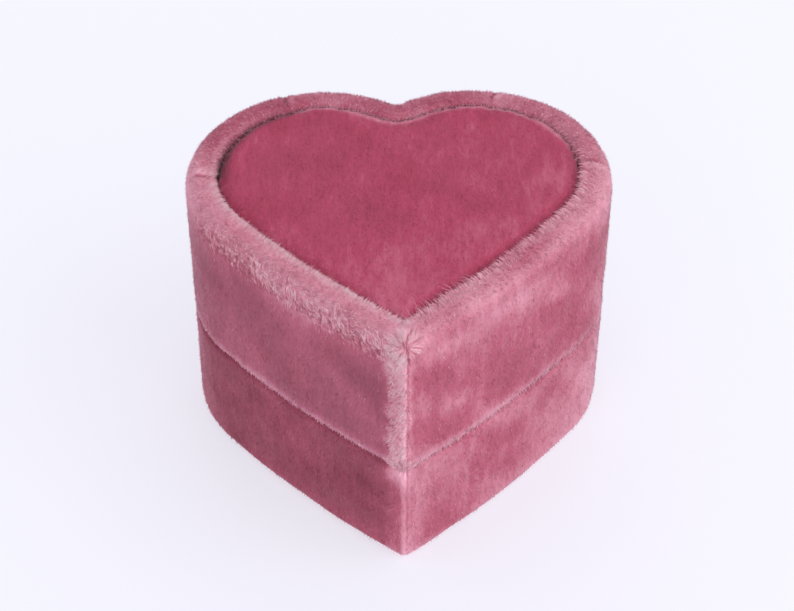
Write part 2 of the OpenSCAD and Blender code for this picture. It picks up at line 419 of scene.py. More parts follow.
def panel_shade(p):
    """Shade of the let-in panels: streaks along the pile, mottles across it, and painted light: paler
    towards the front and right, a painted highlight on the edge at the back, painted shadow in the grooves
    and beside the front-right fringe.
    """
    shade = 0.45 + 0.10 * noise(p, 5 * MM, 11) + 0.05 * noise(p, [1.6 * MM, 3 * MM, 2 * MM], 12)
    shade += 0.07 * noise(p, [0.35 * MM, 2.2 * MM, 1 * MM], 13)
    # Painted light: paler towards the front and the right, where the key light falls
    shade += 0.14 * ease(-p[:, 1], 0, 20 * MM) + 0.09 * ease(p[:, 0], 5 * MM, 20 * MM)
    edge = edge_distance(p, PANEL_SIDE)
    # Painted shadow where the rim stands off the panel, tinted mauve through the cool value, and a painted
    # highlight on the lit back edge
    groove_shadow = grooved(p) * ease(-edge, -2.5 * MM, -0.9 * MM)
    shade += 0.34 * bump(edge, 0.6 * MM, 0.7 * MM) * ease(p[:, 1], 8 * MM, 15 * MM) * (1 - grooved(p))
    shade -= 0.44 * groove_shadow
    # Painted shadow on the panel beside the fringe at the front right
    shade -= 0.35 * bump(edge, 0, 0.9 * MM) * ease(p[:, 0], 0, 3 * MM) * ease(-p[:, 1], -8 * MM, 0)
    return np.clip(shade, 0, 1), np.clip(0.1 + 0.1 * noise(p, 6 * MM, 14) + 0.3 * groove_shadow, 0, 1)


def lining_shade(p):
    """Shade of velvet pressed flat inside the box."""
    shade = 0.45 + 0.12 * noise(p, 4 * MM, 15) + 0.1 * noise(p, 1 * MM, 16)
    return np.clip(shade, 0, 1), np.zeros(len(p))


# ---------------------------------------------------------------- materials

def linear(r, g, b):
    """sRGB values out of 255 as a linear colour."""
    return [((c / 255 + 0.055) / 1.055) ** 2.4 if c > 10 else c / 255 / 12.92 for c in (r, g, b)]


def mixed(a, b, t):
    return [x + (y - x) * t for x, y in zip(a, b)]


ROSE = [(0.0, linear(118, 38, 57)), (0.45, linear(184, 88, 111)), (1.0, linear(255, 190, 207))]
RASPBERRY = [(0.0, linear(122, 32, 54)), (0.5, linear(182, 68, 98)), (1.0, linear(236, 148, 172))]
# A paler copy of the rose, for fibres that carry painted sheen
SHEEN_PALE = [(0.0, linear(176, 80, 102)), (0.45, linear(246, 164, 184)), (1.0, linear(255, 218, 226))]
# Mauve, mixed in by the cool value: a greyer painted sheen, a tint in the grooves' painted shadow, and
# random patches
MAUVE = linear(174, 118, 139)
COOL_SHARE = 0.35


def tone(ramp, shade, cool=0.0):
    """Colour on a ramp of (place, colour) at one shade."""
    for (at, a), (to, b) in zip(ramp, ramp[1:]):
        if shade <= to:
            colour = mixed(a, b, (shade - at) / (to - at))
            return mixed(colour, MAUVE, cool * COOL_SHARE)
    return ramp[-1][1]


def material(name, roughness=0.8, sheen=0.0, sheen_roughness=0.4, sheen_tint=(1, 1, 1)):
    mat = bpy.data.materials.new(name)
    mat.use_nodes = True
    shader = mat.node_tree.nodes["Principled BSDF"]
    shader.inputs["Roughness"].default_value = roughness
    shader.inputs["Sheen Weight"].default_value = sheen
    shader.inputs["Sheen Roughness"].default_value = sheen_roughness
    shader.inputs["Sheen Tint"].default_value = (*sheen_tint, 1)
    shader.inputs["Specular IOR Level"].default_value = 0.3
    return mat, mat.node_tree, shader


def add_node(tree, kind, inputs=None, **settings):
    node = tree.nodes.new(kind)
    for key, value in settings.items():
        setattr(node, key, value)
    for key, value in (inputs or {}).items():
        if hasattr(value, "is_output"):
            tree.links.new(value, node.inputs[key])
        else:
            node.inputs[key].default_value = value
    return node


def grain(tree, size, stretch_by=(1, 1, 1), detail=3.0, roughness=0.6):
    """Noise in the part's own space: grains about `size` metres across, longer along a stretched axis."""
    where = add_node(tree, "ShaderNodeTexCoord").outputs["Object"]
    scaled = add_node(
        tree, "ShaderNodeMapping", {"Vector": where, "Scale": [1 / s for s in stretch_by]}
    ).outputs["Vector"]
    return add_node(
        tree, "ShaderNodeTexNoise",
        {"Vector": scaled, "Scale": 1 / size, "Detail": detail, "Roughness": roughness},
    ).outputs["Fac"]


def maths(tree, operation, a, b):
    return add_node(tree, "ShaderNodeMath", {0: a, 1: b}, operation=operation).outputs[0]


def ramp_node(tree, factor, ramp):
    node = add_node(tree, "ShaderNodeValToRGB", {"Fac": factor})
    elements = node.color_ramp.elements
    while len(elements) < len(ramp):
        elements.new(0.5)
    for (at, colour), element in zip(ramp, elements):
        element.position = at
        element.color = (*colour, 1)
    return node.outputs["Color"]


def mix_colour(tree, factor, a, b):
    node = add_node(tree, "ShaderNodeMix", data_type="RGBA")
    for socket, value in ((node.inputs[0], factor), (node.inputs[6], a), (node.inputs[7], b)):
        if hasattr(value, "is_output"):
            tree.links.new(value, socket)
        else:
            socket.default_value = value if isinstance(value, float) else (*value, 1)
    return node.outputs[2]


def velvet(name, ramp, along):
    """Velvet skin: the shade kept on the piece, which holds its tone and its painted light and shade,
    broken up by grains of pile stretched by `along`.
    """
    mat, tree, shader = material(name, 0.85, 0.35, 0.35, (1.0, 0.72, 0.8))
    shade = add_node(tree, "ShaderNodeAttribute", attribute_name="shade").outputs["Fac"]
    cool = add_node(tree, "ShaderNodeAttribute", attribute_name="cool").outputs["Fac"]
    fine = grain(tree, 0.35 * MM, along)
    coarse = grain(tree, 1.3 * MM, along)
    grains = maths(
        tree, "ADD", maths(tree, "MULTIPLY", fine, 0.22), maths(tree, "MULTIPLY", coarse, 0.12)
    )
    # The grains' mean is taken off, so that they leave the shade as it is
    total = maths(tree, "ADD", shade, maths(tree, "SUBTRACT", grains, 0.17))
    colour = ramp_node(tree, total, ramp)
    colour = mix_colour(tree, maths(tree, "MULTIPLY", cool, COOL_SHARE), colour, MAUVE)
    tree.links.new(colour, shader.inputs["Base Color"])
    relief = add_node(tree, "ShaderNodeBump", {"Height": fine, "Strength": 0.5, "Distance": 0.12 * MM})
    tree.links.new(relief.outputs["Normal"], shader.inputs["Normal"])
    return mat


def board_material(name, dark, light):
    mat, tree, shader = material(name, 0.9)
    fibres = grain(tree, 0.5 * MM, (3, 3, 1), detail=5.0)
    specks = grain(tree, 0.18 * MM)
    share = maths(tree, "ADD", maths(tree, "MULTIPLY", fibres, 0.6), maths(tree, "MULTIPLY", specks, 0.4))
    tree.links.new(ramp_node(tree, share, [(0.35, dark), (0.65, light)]), shader.inputs["Base Color"])
    relief = add_node(tree, "ShaderNodeBump", {"Height": specks, "Strength": 0.3, "Distance": 0.05 * MM})
    tree.links.new(relief.outputs["Normal"], shader.inputs["Normal"])
    return mat


def satin_material(name, dark, light):
    mat, tree, shader = material(name, 0.32, 0.25, 0.3, (1.0, 0.85, 0.88))
    shader.inputs["Anisotropic"].default_value = 0.5
    floats = grain(tree, 0.12 * MM, (6, 1, 1))
    cloudy = grain(tree, 3 * MM)
    share = maths(tree, "ADD", maths(tree, "MULTIPLY", floats, 0.4), maths(tree, "MULTIPLY", cloudy, 0.6))
    tree.links.new(ramp_node(tree, share, [(0.35, dark), (0.65, light)]), shader.inputs["Base Color"])
    relief = add_node(tree, "ShaderNodeBump", {"Height": floats, "Strength": 0.2, "Distance": 0.03 * MM})
    tree.links.new(relief.outputs["Normal"], shader.inputs["Normal"])
    return mat


rose_velvet = velvet("rose_velvet", ROSE, (1, 1, 3))
raspberry_velvet = velvet("raspberry_velvet", RASPBERRY, (1, 4, 1))
rose_satin = satin_material("rose_satin", linear(196, 142, 150), linear(228, 184, 188))
greyboard = board_material("greyboard", linear(132, 124, 112), linear(176, 168, 154))
wadding = board_material("wadding", linear(226, 222, 214), linear(246, 244, 240))
foam = board_material("foam", linear(222, 214, 190), linear(240, 234, 214))


# How many shades a kind of fibre comes in
LEVELS = 6


def shades_of(name, ramp, cool=0.0):
    """Fibre materials from deep to pale."""
    made = []
    for i in range(LEVELS):
        mat, _, shader = material(f"{name}_{i}", 0.7, 0.3, 0.4, (1.0, 0.8, 0.86))
        shader.inputs["Base Color"].default_value = (*tone(ramp, (i + 0.5) / LEVELS, cool), 1)
        made.append(mat)
    return made


# The pale set carries painted sheen on pile that stands up to the light
rose_fibres = shades_of("rose_fibre", ROSE) + shades_of("mauve_fibre", ROSE, 0.8)
sheen_fibres = shades_of("pale_fibre", SHEEN_PALE)
raspberry_fibres = shades_of("raspberry_fibre", RASPBERRY)


# ---------------------------------------------------------------- fibres of the pile

# How deep a fibre stands in its skin
ROOT_DEPTH = 0.08 * MM
# How much a fibre is shaded as its own round shape, and not as the skin that it stands on
OWN_SHADING = 0.38
# How far single fibres differ in shade
OWN_SHADE = 0.10


def triangles(piece):
    piece.data.calc_loop_triangles()
    t = np.zeros(len(piece.data.loop_triangles) * 3, np.int32)
    piece.data.loop_triangles.foreach_get("vertices", t)
    return t.reshape(-1, 3)


class Roots:
    """Random places on a piece, with what the skin has there."""

    def __init__(self, piece, density):
        """density(places, normals, inset) is in fibres per square millimetre."""
        p, n, t = places(piece), outward(piece), triangles(piece)
        inset, face = values(piece, "inset"), values(piece, "face", 1.0)
        corners = p[t]
        sides = corners[:, 1:] - corners[:, :1]
        area = np.linalg.norm(np.cross(sides[:, 0], sides[:, 1]), axis=1) / 2
        wanted = area / MM**2 * density(corners.mean(1), unit(n[t].mean(1)), inset[t].mean(1))
        wanted *= face[t].min(1)
        chosen = t[np.repeat(np.arange(len(t)), np.floor(wanted + dice.random(len(wanted))).astype(int))]
        a, b = dice.random((2, len(chosen)))
        a, b = np.where(a + b > 1, (1 - a, 1 - b), (a, b))
        self.share = np.stack([1 - a - b, a, b], 1)[:, :, None]
        self.chosen = chosen
        self.place = self.of(p)
        self.normal = unit(self.of(n))
        self.inset = self.of(inset[:, None])[:, 0]
        self.shade = self.of(values(piece, "shade")[:, None])[:, 0]
        self.cool = self.of(values(piece, "cool")[:, None])[:, 0]
        out = np.stack([values(piece, "out_x", 1.0), values(piece, "out_y"), np.zeros(len(p))], 1)
        self.out = unit(self.of(out))
        self.along = np.cross([0, 0, 1], self.out)

    def of(self, kept):
        return (kept[self.chosen] * self.share).sum(1)

    def __len__(self):
        return len(self.chosen)


def clumps(p, size, seed):
    """The way from each place to the middle of its clump, and a value from -1 to 1 that it shares."""
    cell = np.floor(p / size).astype(np.int64)
    middle = np.stack([lattice(cell, seed + k) for k in range(3)], 1) * 0.3 + 0.5
    return (cell + middle) * size - p, lattice(cell, seed + 3)


def fibres(
    name, roots, comb, lean, length, thick, level, mats, body, record_slot, bent=True, catch=(0, 0, 0)
):
    """Each fibre is a small closed spike of three sides, which may be bent over half way. comb is the way
    it leans, lean how many radians it leans from the normal at its root and its end, level its shade, and
    catch turns its shading towards the light."""
    count = len(roots)
    normal = roots.normal
    lit = unit(normal + catch)
    comb = unit(comb - normal * (comb * normal).sum(1, keepdims=True))
    across = np.cross(normal, comb)
    low_lean, high_lean = (radians[:, None] for radians in lean)
    first = normal * np.cos(low_lean) + comb * np.sin(low_lean)
    second = normal * np.cos(high_lean) + comb * np.sin(high_lean)
    start = roots.place - normal * ROOT_DEPTH
    stations = [(start, first, 1.0)]
    if bent:
        bend = start + first * length[:, None] / 2
        stations.append((bend, unit(first + second), 0.8))
        end = bend + second * length[:, None] / 2
        one = [(0, 2, 1), (0, 1, 4, 3), (1, 2, 5, 4), (2, 0, 3, 5), (3, 4, 6), (4, 5, 6), (5, 3, 6)]
    else:
        end = start + unit(first + second) * length[:, None]
        one = [(0, 2, 1), (0, 1, 3), (1, 2, 3), (2, 0, 3)]
    rings, facing = [], []
    for centre, way, share in stations:
        side = np.cross(way, across)
        for k in range(3):
            a = 2 * math.pi * k / 3
            round_it = across * math.cos(a) + side * math.sin(a)
            rings.append(centre + round_it * thick[:, None] * share / 2)
            facing.append(unit(lit + OWN_SHADING * round_it))
    points = np.stack([*rings, end], 1)
    facing = np.stack([*facing, lit], 1)
    each = points.shape[1]
    flat = np.concatenate([np.array(face) for face in one])
    loops = (flat[None] + each * np.arange(count)[:, None]).ravel()
    sizes = np.tile([len(face) for face in one], count)
    mesh = bpy.data.meshes.new(name)
    mesh.vertices.add(count * each)
    mesh.vertices.foreach_set("co", points.ravel())
    mesh.loops.add(len(loops))
    mesh.loops.foreach_set("vertex_index", loops.astype(np.int32))
    mesh.polygons.add(len(sizes))
    mesh.polygons.foreach_set("loop_start", np.r_[0, np.cumsum(sizes)[:-1]].astype(np.int32))
    mesh.update(calc_edges=True)
    for mat in mats:
        mesh.materials.append(mat)
    picked = (np.clip(level + dice.normal(0, OWN_SHADE, count), 0, 0.999) * LEVELS).astype(int)
    if len(mats) > LEVELS:
        picked += LEVELS * (dice.random(count) < roots.cool)
    mesh.polygons.foreach_set("material_index", np.repeat(picked, len(one)).astype(np.int32))
    mesh.shade_smooth()
    mesh.normals_split_custom_set_from_vertices(facing.reshape(-1, 3).tolist())
    piece = bpy.data.objects.new(name, mesh)
    bpy.context.scene.collection.objects.link(piece)
    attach(piece, body)
    return piece


# ---------------------------------------------------------------- lid and base velvet

# Distance between the rows of points round a wall, where the cloth is seen and where it isn't
ROW = 0.34 * MM
HIDDEN_ROW = 1.5 * MM
RIM_R, RIM_IN_R, LIP_R, FOOT_R = 2.3 * MM, 1.3 * MM, 0.8 * MM, 1.8 * MM


def wrap_section(bottom, top, low_r, high_r, low_in, high_in, plate_low, plate_top, in_low_r, in_high_r):
    """Velvet round one wall: the points of its face, then those that are turned in and glued behind it.
    bottom and top are the wall's ends, low_r and high_r its outer roundings, in_low_r and in_high_r its
    inner ones, low_in and high_in how far the cloth reaches inwards below and above the plate, which lies
    between plate_low and plate_top."""
    face = (
        turn((low_r, bottom + low_r), low_r, 270, 180, ROW)
        + stretch((0, bottom + low_r), (0, top - high_r), ROW)[1:]
        + turn((high_r, top - high_r), high_r, 180, 90, ROW)
        + stretch((high_r, top), (high_in - in_high_r, top), ROW)[1:]
        + turn((high_in - in_high_r, top - in_high_r), in_high_r, 90, 0, ROW)
    )
    glued = [
        (high_in, plate_top), (WALL_IN, plate_top),
        (WALL_IN, top - VELVET_T), (VELVET_T, top - VELVET_T),
        (VELVET_T, bottom + VELVET_T), (WALL_IN, bottom + VELVET_T),
        (WALL_IN, plate_low), (low_in, plate_low),
    ]
    glued += stretch((low_in, plate_low), (low_in, bottom + in_low_r), HIDDEN_ROW)[1:]
    glued += turn((low_in - in_low_r, bottom + in_low_r), in_low_r, 0, -90, ROW)
    return face, glued


def velvet_relief(p, n):
    """How far the pile stands above or below its even height, in metres."""
    rise = 0.09 * noise(p, 7 * MM, 21) + 0.06 * noise(p, 2.2 * MM, 22)
    rise += 0.04 * noise(p, [0.8 * MM, 0.8 * MM, 1.6 * MM], 23)
    rise -= 0.3 * folded(p, 0, 0.45 * MM)
    rise += 0.16 * crimped(p, n) * noise(p, [1.2 * MM, 1.2 * MM, 0.5 * MM], 24)
    rise += 0.12 * ridged(p)
    rise -= 0.5 * bump(np.linalg.norm(p - STAR, axis=1), 0, 0.5 * MM)
    rise += 0.30 * (burst_tufts(p)[1] - 0.5) * starred(p)
    return rise * MM


def rim_edge_highlight(inset):
    """1 at the inner edge of the rim, where the pile stands out over the let-in panel: the place of a
    painted highlight.
    """
    return bump(inset, WALL_IN + 0.3 * MM, 0.7 * MM)


def velvet_wrap(name, body, node, **measures):
    face, glued = wrap_section(**measures)
    wrap = sweep(name, face + glued)
    p, n = places(wrap), outward(wrap)
    shown = np.arange(len(p)) < len(face) * len(heart(0))
    p += n * (velvet_relief(p, n) * shown)[:, None]
    p[:, 2] = np.maximum(p[:, 2], 0)
    move_to(wrap, p)
    n = outward(wrap)
    shade, cool = box_shade(p, n)
    # A painted highlight along the rim's inner edge, towards the front, stronger on the left
    edge = rim_edge_highlight(values(wrap, "inset")) * (n[:, 2] > 0) * ease(-p[:, 1], -12 * MM, 0)
    shade += (0.16 + 0.08 * (p[:, 0] < 0)) * edge
    keep_values(wrap, "shade", np.clip(shade, 0, 1))
    keep_values(wrap, "cool", cool)
    keep_values(wrap, "face", shown)
    wrap.data.materials.append(rose_velvet)
    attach(wrap, body)
    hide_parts(node)
    return wrap


lid_wrap = velvet_wrap(
    "lid_velvet", "lid", "lid_velvet_wrap", bottom=LID_Z, top=BOX_TOP, low_r=LIP_R, high_r=RIM_R,
    low_in=LID_INSIDE, high_in=RIM_W, plate_low=DECK_Z, plate_top=DECK_TOP, in_low_r=LIP_R,
    in_high_r=RIM_IN_R,
)
base_wrap = velvet_wrap(
    "base_velvet", "base", "base_velvet_wrap", bottom=0, top=BASE_TOP, low_r=FOOT_R, high_r=LIP_R,
    low_in=RIM_W, high_in=COLLAR_OUT, plate_low=FLOOR_Z, plate_top=FLOOR_TOP, in_low_r=LIP_R,
    in_high_r=LIP_R / 2,
)

# ---------------------------------------------------------------- padded pieces

# The cloth is simulated ten times as large as it is, because the solver is poor at millimetres
SIM_SCALE = 10
SIM_FRAMES = 14
# A hair of space where a filling is glued to its neighbour
GLUE = 0.02 * MM


def apply_modifiers(piece):
    """Takes the mesh that the modifiers make, and leaves none of them."""
    shaped = bpy.data.meshes.new_from_object(piece.evaluated_get(bpy.context.evaluated_depsgraph_get()))
    piece.modifiers.clear()
    piece.data = shaped


def remesh(piece, voxel):
    modifier = piece.modifiers.new("remesh", "REMESH")
    modifier.mode, modifier.voxel_size, modifier.use_smooth_shade = "VOXEL", voxel, True
    apply_modifiers(piece)


def inflate(piece, pinned, pressure, cap):
    """Swells a pad as cloth under pressure. pinned picks the places that are glued down, and cap is how
    far a point may move along x, y and z."""
    rest = places(piece)
    move_to(piece, rest * SIM_SCALE)
    group = piece.vertex_groups.new(name="glued")
    group.add(np.flatnonzero(pinned(rest)).tolist(), 1.0, "REPLACE")
    cloth = piece.modifiers.new("cloth", "CLOTH")
    cloth.settings.vertex_group_mass = group.name
    cloth.settings.use_pressure = True
    cloth.settings.uniform_pressure_force = pressure
    cloth.settings.effector_weights.gravity = 0
    cloth.settings.tension_stiffness = cloth.settings.compression_stiffness = 15
    cloth.settings.quality = 5
    cloth.point_cache.frame_start, cloth.point_cache.frame_end = 1, SIM_FRAMES
    for step in range(1, SIM_FRAMES + 1):
        bpy.context.scene.frame_set(step)
    apply_modifiers(piece)
    bpy.context.scene.frame_set(1)
    piece.vertex_groups.clear()
    moved = places(piece) / SIM_SCALE - rest
    move_to(piece, rest + np.clip(moved, -np.array(cap), np.array(cap)))


def slot_half(inset, side, slot_edge):
    """The heart cut off at the ring slot: its front part (side -1) or its back part (side 1)."""
    outline = heart(inset, 2)
    kept = []
    for a, b in zip(outline, np.roll(outline, -1, 0)):
        if (a[1] - slot_edge) * side > 0:
            kept.append(a)
        if (a[1] - slot_edge) * (b[1] - slot_edge) < 0:
            kept.append(a + (b - a) * (slot_edge - a[1]) / (b[1] - a[1]))
    return np.array(kept)


def finish_soft(piece, body, node, shade_of, mat):
    shade, cool = shade_of(places(piece))
    keep_values(piece, "shade", shade)
    keep_values(piece, "cool", cool)
    piece.data.materials.clear()
    piece.data.materials.append(mat)
    piece.data.shade_smooth()
    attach(piece, body)
    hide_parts(node)


def heights(node):
    low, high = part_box(node)
    return low.z, high.z


def hollow(piece, outline, z0, z1):
    """Gives a covering the space that its filling lies in: a second skin, which faces into that space."""
    cover = len(piece.data.vertices)
    space = plate("space", outline, z0, z1)
    space.data.flip_normals()
    both = bmesh.new()
    both.from_mesh(piece.data)
    both.from_mesh(space.data)
    both.to_mesh(piece.data)
    both.free()
    bpy.data.objects.remove(space)
    keep_values(piece, "face", np.arange(len(piece.data.vertices)) < cover)


def pad(name, node, body, outline, space, *, voxel, swell, shade_of, mat, relief=None):
    """A pad or panel: its covering, round the space for what fills it. swell is where the covering is
    glued down, the pressure and how far a point may move, or None where it is drawn flat over its board."""
    z0, z1 = heights(node)
    piece = plate(name, outline, z0, z1)
    remesh(piece, voxel)
    if swell:
        glued, pressure, cap = swell
        inflate(piece, lambda p: glued(p, z0, z1), pressure, cap)
    if relief:
        p, n = places(piece), outward(piece)
        move_to(piece, p + n * relief(p, n)[:, None])
    hollow(piece, *space)
    finish_soft(piece, body, node, shade_of, mat)
    return piece


def space_for(outline, *nodes):
    """The space that these pieces take up together, less a hair of glue below and above."""
    low = min(heights(node)[0] for node in nodes)
    high = max(heights(node)[1] for node in nodes)
    return outline, low + GLUE, high - GLUE


def glued_below(p, z0, z1):
    return p[:, 2] < z0 + (z1 - z0) * 0.6


def glued_above(p, z0, z1):
    return p[:, 2] > z1 - (z1 - z0) * 0.6


def panel_relief(p, n):
    rise = 0.05 * noise(p, 6 * MM, 31) + 0.025 * noise(p, [0.7 * MM, 2 * MM, 1 * MM], 32)
    pressed = grooved(p) * ease(-edge_distance(p, PANEL_SIDE), -1.8 * MM, -0.3 * MM)
    return (rise - 0.5 * pressed * (n[:, 2] > 0)) * MM


top_panel = pad(
    "top_panel", "top_panel_velvet", "lid", heart(PANEL_SIDE, 2),
    space_for(heart(PANEL_FILL, 2), "top_panel_board", "top_panel_wadding"), voxel=0.5 * MM,
    swell=(glued_below, 4, (0.05 * MM, 0.05 * MM, 0.45 * MM)), shade_of=panel_shade, mat=raspberry_velvet,
    relief=panel_relief,
)


def soft_block(name, node, body, outline, voxel, mat):
    """Foam or wadding, which fills its velvet or satin but is seen only when the box is taken apart."""
    z0, z1 = heights(node)
    block = plate(name, outline, z0, z1)
    remesh(block, voxel)
    p, n = places(block), outward(block)
    move_to(block, p + n * (0.04 * noise(p, 0.9 * MM, 41) - 0.05)[:, None] * MM)
    finish_soft(block, body, node, lining_shade, mat)


# The ring slot lies between the two pads, so each pad's straight edge faces it
ring_pads = {}
for side, word in ((-1, "front"), (1, "back")):
    velvet_node, foam_node = f"{word}_pad_velvet", f"{word}_pad_foam"
    near_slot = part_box(velvet_node)[0 if side > 0 else 1].y
    foam_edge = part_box(foam_node)[0 if side > 0 else 1].y
    foam_outline = slot_half(PAD_SIDE + LINING_T, side, foam_edge)
    ring_pads[word] = pad(
        f"{word}_ring_pad", velvet_node, "base", slot_half(PAD_SIDE, side, near_slot),
        space_for(foam_outline, foam_node), voxel=0.6 * MM,
        swell=(glued_below, 6, (0.1 * MM, 0.25 * MM, 1.2 * MM)), shade_of=lining_shade, mat=rose_velvet,
    )
    soft_block(f"{word}_foam", foam_node, "base", foam_outline, 0.8 * MM, foam)


def satin_relief(p, n):
    """Small puckers round the edge, where the satin is drawn over the card."""
    edge = 1 - ease(-n[:, 2], 0.6, 0.98)
    return (0.05 * noise(p, 3 * MM, 33) + edge * 0.09 * noise(p, [1.1 * MM, 1.1 * MM, 4 * MM], 34)) * MM


pad(
    "ceiling_pad", "ceiling_satin", "lid", heart(CEILING_SIDE, 2),
    space_for(heart(CEILING_FILL, 2), "ceiling_board", "ceiling_wadding"), voxel=0.6 * MM,
    swell=(glued_above, 6, (0.05 * MM, 0.05 * MM, 1.2 * MM)), shade_of=lining_shade, mat=rose_satin,
    relief=satin_relief,
)
soft_block("ceiling_fill", "ceiling_wadding", "lid", heart(CEILING_FILL, 2), 0.6 * MM, wadding)
soft_block("top_fill", "top_panel_wadding", "lid", heart(PANEL_FILL, 2), 0.35 * MM, wadding)

pad(
    "bottom_panel", "bottom_panel_velvet", "base", heart(PANEL_SIDE, 2),
    space_for(heart(BOTTOM_FILL, 2), "bottom_panel_board"), voxel=0.5 * MM, swell=None,
    shade_of=panel_shade, mat=raspberry_velvet,
)

# ---------------------------------------------------------------- collar

COLLAR_R = 0.7 * MM
COLLAR_ROW, COLLAR_EDGE_ROW = 0.6 * MM, 0.2 * MM
COLLAR_BEND = COLLAR_TOP - COLLAR_R
collar = sweep("collar", (
    stretch((COLLAR_OUT, FLOOR_TOP), (COLLAR_OUT, COLLAR_BEND), COLLAR_ROW)
    + turn((COLLAR_OUT + COLLAR_R, COLLAR_BEND), COLLAR_R, 180, 90, COLLAR_EDGE_ROW)
    + turn((COLLAR_IN - COLLAR_R, COLLAR_BEND), COLLAR_R, 90, 0, COLLAR_EDGE_ROW)
    + stretch((COLLAR_IN, COLLAR_BEND), (COLLAR_IN, FLOOR_TOP), COLLAR_ROW)[1:]
    + [
        (COLLAR_IN, FLOOR_TOP), (COLLAR_BOARD_IN, FLOOR_TOP), (COLLAR_BOARD_IN, COLLAR_TOP - LINING_T),
        (COLLAR_BOARD_OUT, COLLAR_TOP - LINING_T), (COLLAR_BOARD_OUT, FLOOR_TOP),
    ]
), 2)
finish_soft(collar, "base", "collar_velvet", lining_shade, rose_velvet)

# ---------------------------------------------------------------- pile of the velvet

DOWN = np.array([0, 0, -1.0])
# How far the fibres differ in lean, in radians, and in length and thickness, as a share
LEAN_SPREAD = 0.15
SIZE_SPREAD = 0.25


def varied(count, usual, spread):
    return usual + dice.normal(0, spread, count)


def varied_size(count):
    return np.clip(varied(count, 1, SIZE_SPREAD), 0.4, 1.7)


def strands(
    name, skin, density, comb, *, lean, long, thick, lift, contrast, clump, seed, gather=0.8, body="lid",
    mats=rose_fibres, slot="rose_velvet", tone_of=None, bent=True, catch=(0, 0, 0),
):
    """Pile on part of a skin. density(places, normals, inset) is in fibres per square millimetre,
    comb(roots) is the way they lie, and lean is in radians at root and end. long, which may go by the
    roots, thick and clump are in millimetres. lift makes them paler than the skin, contrast is how far
    the clumps differ in shade, and gather is how far their tips draw together."""
    roots = Roots(skin, density)
    to_clump, tint = clumps(roots.place, clump * MM, seed)
    count = len(roots)
    way = comb(roots) + gather * to_clump / MM
    long = long(roots) if callable(long) else long
    own_tone = tone_of(roots) if tone_of else 0
    return fibres(
        name, roots, way, (varied(count, lean[0], LEAN_SPREAD), varied(count, lean[1], LEAN_SPREAD)),
        long * MM * varied_size(count), thick * MM * varied_size(count),
        roots.shade + own_tone + lift + contrast * tint, mats, body, slot, bent, catch,
    )


def stray_ways(roots, seed):
    return np.stack([noise(roots.place, 1.5 * MM, seed + k) for k in range(3)], 1)


def nap_way(roots):
    """Pile lies down the walls and outwards over the rim."""
    top = ease(roots.normal[:, 2], 0.3, 0.8)[:, None]
    return DOWN * (1 - top) + roots.out * top * 0.6 + 0.7 * stray_ways(roots, 51)


def longer_pile(p, n):
    """Where longer pile grows than the even nap."""
    return np.maximum.reduce([crimped(p, n), ridged(p), starred(p)])


def wavy_way(roots):
    wave = 0.25 + 1.1 * noise(roots.place, 1.1 * MM, 72)
    return roots.along * np.cos(wave)[:, None] + DOWN * np.sin(wave)[:, None]


def ridge_way(roots):
    side = np.where(roots.place[:, 0] < 0.35 * MM, -0.9, 0.35)
    return DOWN + side[:, None] * np.array([1, 0, 0]) + 0.3 * stray_ways(roots, 54)


def rim_way(roots):
    inner = ease(roots.inset, 1.6 * MM, 2.6 * MM)
    return roots.out * (0.5 - 1.5 * inner)[:, None] + 0.3 * stray_ways(roots, 57)


def panel_way(roots):
    return np.array([0, -1.0, 0]) + 0.5 * stray_ways(roots, 131)


def burst_tone(roots):
    """Tufts between creases of painted shade, deeper to the right of the edge."""
    crease, tuft, own = burst_tufts(roots.place)
    return 0.2 * tuft + 0.12 * own - 0.75 * crease - 0.15 * ease(roots.place[:, 0], 0, 1.5 * MM)


def right_of_tip(roots):
    return ease(roots.place[:, 0], 0, 5 * MM)


def ridge_density(p, n, inset):
    return 38 * ease(ridged(p), 0.05, 0.8) * (p[:, 2] < STAR[2] - 1.0 * MM)


def rim_fringe_density(p, n, inset):
    """Thick along the rim's inner edge, and thin at the back of the box."""
    at_edge = 54 * bump(inset, WALL_IN + 0.2 * MM, 0.45 * MM) * (n[:, 2] > 0.1)
    return at_edge * (1 - 0.9 * ease(p[:, 1], 3 * MM, 14 * MM))


def lip_density(p, n, inset):
    return 20 * bump(p[:, 2], LID_Z + 0.6 * MM, 0.5 * MM) * (n[:, 2] > -0.3)


def panel_edge_density(p, n, inset):
    """On the panel's rounded edge, at the back of the box, for pale fibres that paint a highlight there."""
    return 42 * bump(n[:, 2], 0.4, 0.18) * ease(p[:, 1], 5 * MM, 14 * MM) * (p[:, 2] > PANEL_TOP - 1 * MM)


def stray_density(p, n, inset):
    """On the rim's inner edge, just right of the tip."""
    near_tip = ease(-p[:, 1], 14 * MM, 20 * MM) * (p[:, 0] > 0)
    return 5.0 * bump(inset, WALL_IN + 0.2 * MM, 0.5 * MM) * near_tip


strands(
    "lid_nap", lid_wrap, lambda p, n, inset: 9.8 * (1 - 0.8 * longer_pile(p, n)), nap_way,
    lean=(0.95, 1.15), long=0.5, thick=0.10, lift=0.05, contrast=0.12, clump=0.55, seed=61, bent=False,
)
strands(
    "base_nap", base_wrap, lambda p, n, inset: 11 * (p[:, 2] > 1.0 * MM), nap_way, lean=(0.95, 1.15),
    long=0.5, thick=0.10, lift=0.04, contrast=0.10, clump=0.55, seed=62, bent=False, body="base",
)
